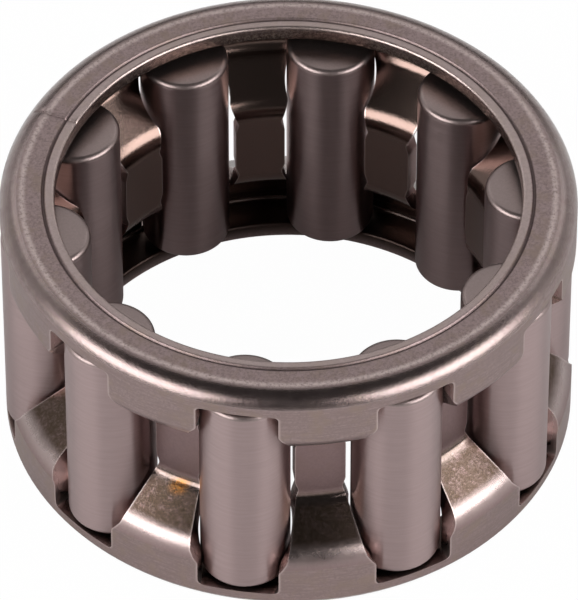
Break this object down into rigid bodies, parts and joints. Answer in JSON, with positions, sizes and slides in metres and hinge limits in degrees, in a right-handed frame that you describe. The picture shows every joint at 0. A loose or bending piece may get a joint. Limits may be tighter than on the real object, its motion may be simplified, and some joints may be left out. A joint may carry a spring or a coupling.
{
  "type": "needle roller bearing",
  "caption": "Needle roller and cage assembly: a stepped sheet-steel ring cage with inward flanged rims holding cylindrical rollers that run straight on a shaft and in a bore.",
  "frame": {"origin": "middle of the bearing, on its axis, half way between the two end faces", "axes": "+Z along the bearing's axis; +X through the axis of roller_01; the bearing is the same both ways up"},
  "size_m": [0.032, 0.0318, 0.0168],
  "materials": {
    "cage_steel": "bare formed steel, tumbled to a fine matt grain, ground smooth round the outside",
    "roller_steel": "hardened bearing steel, ground round to a satin shine, flat matt ends"
  },
  "bodies": {
    "cage": {"cage": "cage_steel"},
    "roller_01": {"roller_01": "roller_steel"},
    "roller_02": {"roller_02": "roller_steel"},
    "roller_03": {"roller_03": "roller_steel"},
    "roller_04": {"roller_04": "roller_steel"},
    "roller_05": {"roller_05": "roller_steel"},
    "roller_06": {"roller_06": "roller_steel"},
    "roller_07": {"roller_07": "roller_steel"},
    "roller_08": {"roller_08": "roller_steel"},
    "roller_09": {"roller_09": "roller_steel"},
    "roller_10": {"roller_10": "roller_steel"}
  },
  "joints": [
    {"name": "roller_01_spin", "type": "hinge", "parent": "cage", "child": "roller_01", "pos_m": [0.0135, 0, 0], "axis": [0, 0, 1], "continuous": true},
    {"name": "roller_02_spin", "type": "hinge", "parent": "cage", "child": "roller_02", "pos_m": [0.01092, 0.00794, 0], "axis": [0, 0, 1], "continuous": true},
    {"name": "roller_03_spin", "type": "hinge", "parent": "cage", "child": "roller_03", "pos_m": [0.00417, 0.01284, 0], "axis": [0, 0, 1], "continuous": true},
    {"name": "roller_04_spin", "type": "hinge", "parent": "cage", "child": "roller_04", "pos_m": [-0.00417, 0.01284, 0], "axis": [0, 0, 1], "continuous": true},
    {"name": "roller_05_spin", "type": "hinge", "parent": "cage", "child": "roller_05", "pos_m": [-0.01092, 0.00794, 0], "axis": [0, 0, 1], "continuous": true},
    {"name": "roller_06_spin", "type": "hinge", "parent": "cage", "child": "roller_06", "pos_m": [-0.0135, 0, 0], "axis": [0, 0, 1], "continuous": true},
    {"name": "roller_07_spin", "type": "hinge", "parent": "cage", "child": "roller_07", "pos_m": [-0.01092, -0.00794, 0], "axis": [0, 0, 1], "continuous": true},
    {"name": "roller_08_spin", "type": "hinge", "parent": "cage", "child": "roller_08", "pos_m": [-0.00417, -0.01284, 0], "axis": [0, 0, 1], "continuous": true},
    {"name": "roller_09_spin", "type": "hinge", "parent": "cage", "child": "roller_09", "pos_m": [0.00417, -0.01284, 0], "axis": [0, 0, 1], "continuous": true},
    {"name": "roller_10_spin", "type": "hinge", "parent": "cage", "child": "roller_10", "pos_m": [0.01092, -0.00794, 0], "axis": [0, 0, 1], "continuous": true}
  ]
}
